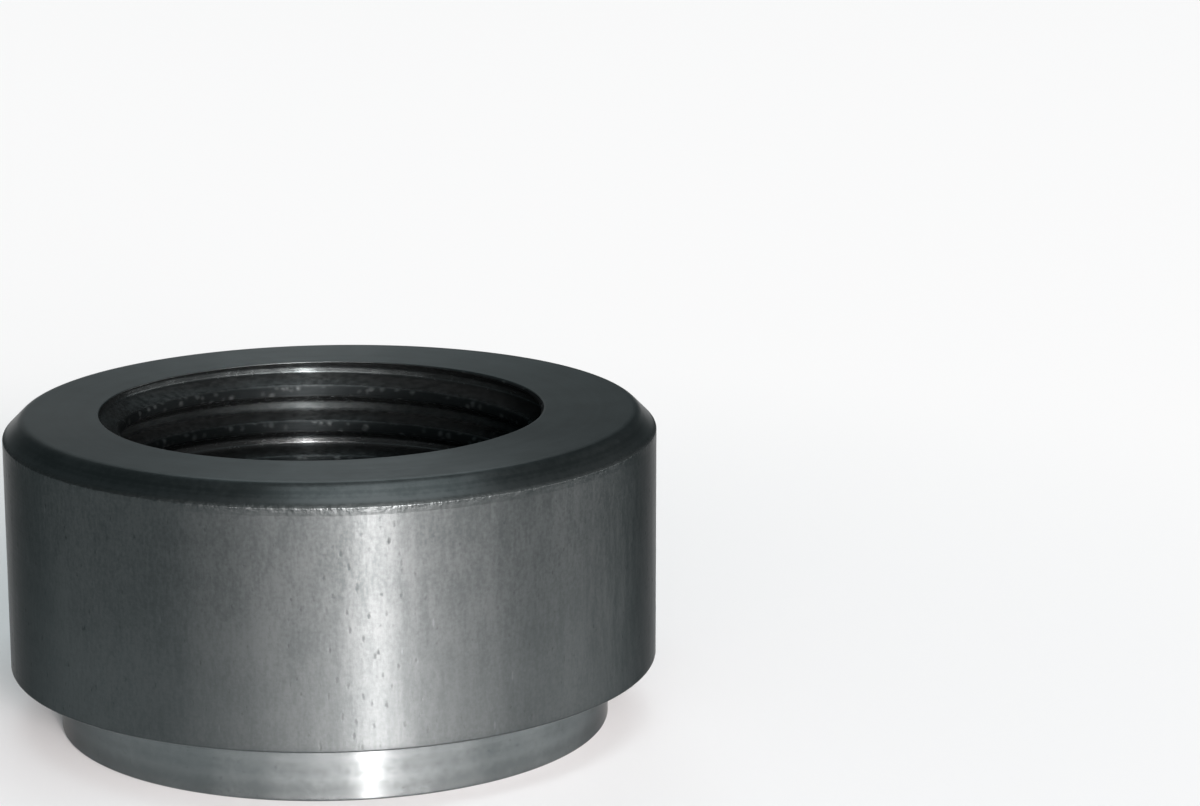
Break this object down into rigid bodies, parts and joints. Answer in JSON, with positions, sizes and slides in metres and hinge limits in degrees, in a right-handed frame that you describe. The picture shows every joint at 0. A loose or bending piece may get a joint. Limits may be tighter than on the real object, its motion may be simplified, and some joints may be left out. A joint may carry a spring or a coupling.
{
  "type": "oxygen sensor bung",
  "caption": "Weld-in exhaust bung: a short turned steel ring with a tapped bore for an oxygen sensor, a chamfered gasket face and a stepped pilot that locates it in the pipe.",
  "frame": {"origin": "centre of the pilot's flat end, on which the bung stands", "axes": "+Z along the bore, from the pilot's end up to the sensor face"},
  "size_m": [0.0254, 0.0254, 0.0124],
  "materials": {
    "steel": "bare mild steel, drawn bar skin outside, turned ends and pilot, cut thread"
  },
  "bodies": {
    "root": {"bung": "steel"}
  },
  "joints": []
}
